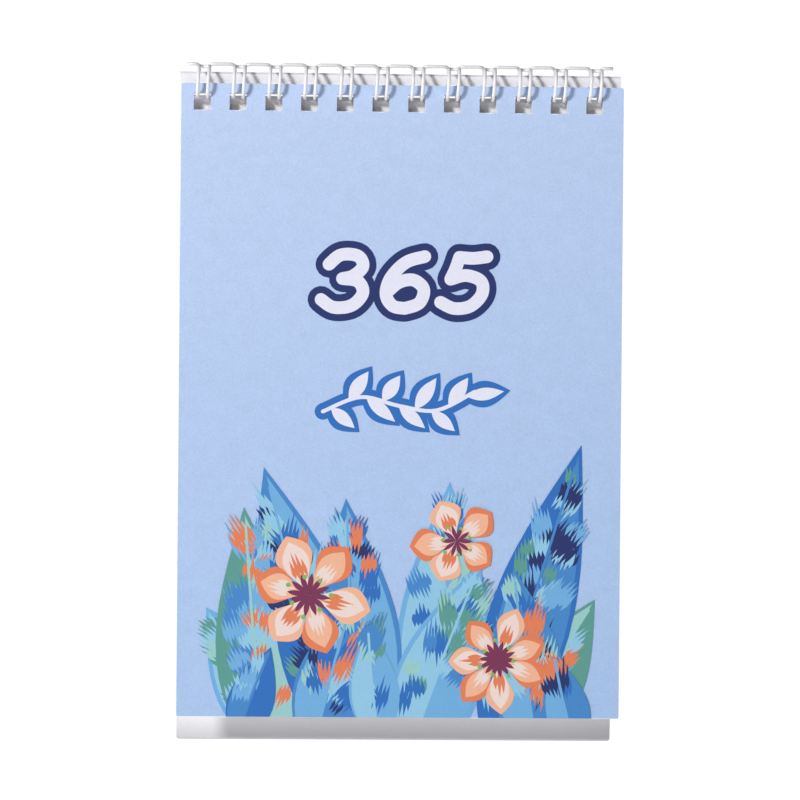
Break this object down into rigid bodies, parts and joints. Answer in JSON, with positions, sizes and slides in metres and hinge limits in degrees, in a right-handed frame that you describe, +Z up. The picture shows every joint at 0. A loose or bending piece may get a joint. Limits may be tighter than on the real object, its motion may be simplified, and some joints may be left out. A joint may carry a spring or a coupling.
{
  "type": "desk calendar",
  "caption": "Tent-shaped desk calendar: folded board stand, wire comb along the top, month leaves and a cover that turns over the top.",
  "frame": {"origin": "middle of the base panel's underside, on the desk", "axes": "+Z up, -Y towards the reader and square to the calendar's width, +X along the wire comb to the reader's right"},
  "size_m": [0.1054, 0.0816, 0.16],
  "materials": {
    "white_board": "matt white board",
    "leaf_paper": "uncoated paper",
    "cover_card": "printed card, light blue",
    "coated_wire": "white nylon-coated steel wire"
  },
  "bodies": {
    "stand": {"stand_board": "white_board", "month_leaves": "leaf_paper"},
    "binding": {"wire_comb": "coated_wire"},
    "cover": {"front_cover": "cover_card"}
  },
  "joints": [
    {"name": "comb_turn", "type": "hinge", "parent": "stand", "child": "binding", "pos_m": [0, -0.00431, 0.15593], "axis": [-1, 0, 0], "range_deg": [0, 30]},
    {"name": "cover_turn", "type": "hinge", "parent": "binding", "child": "cover", "pos_m": [0, -0.00431, 0.15593], "axis": [-1, 0, 0], "range_deg": [0, 110]}
  ]
}
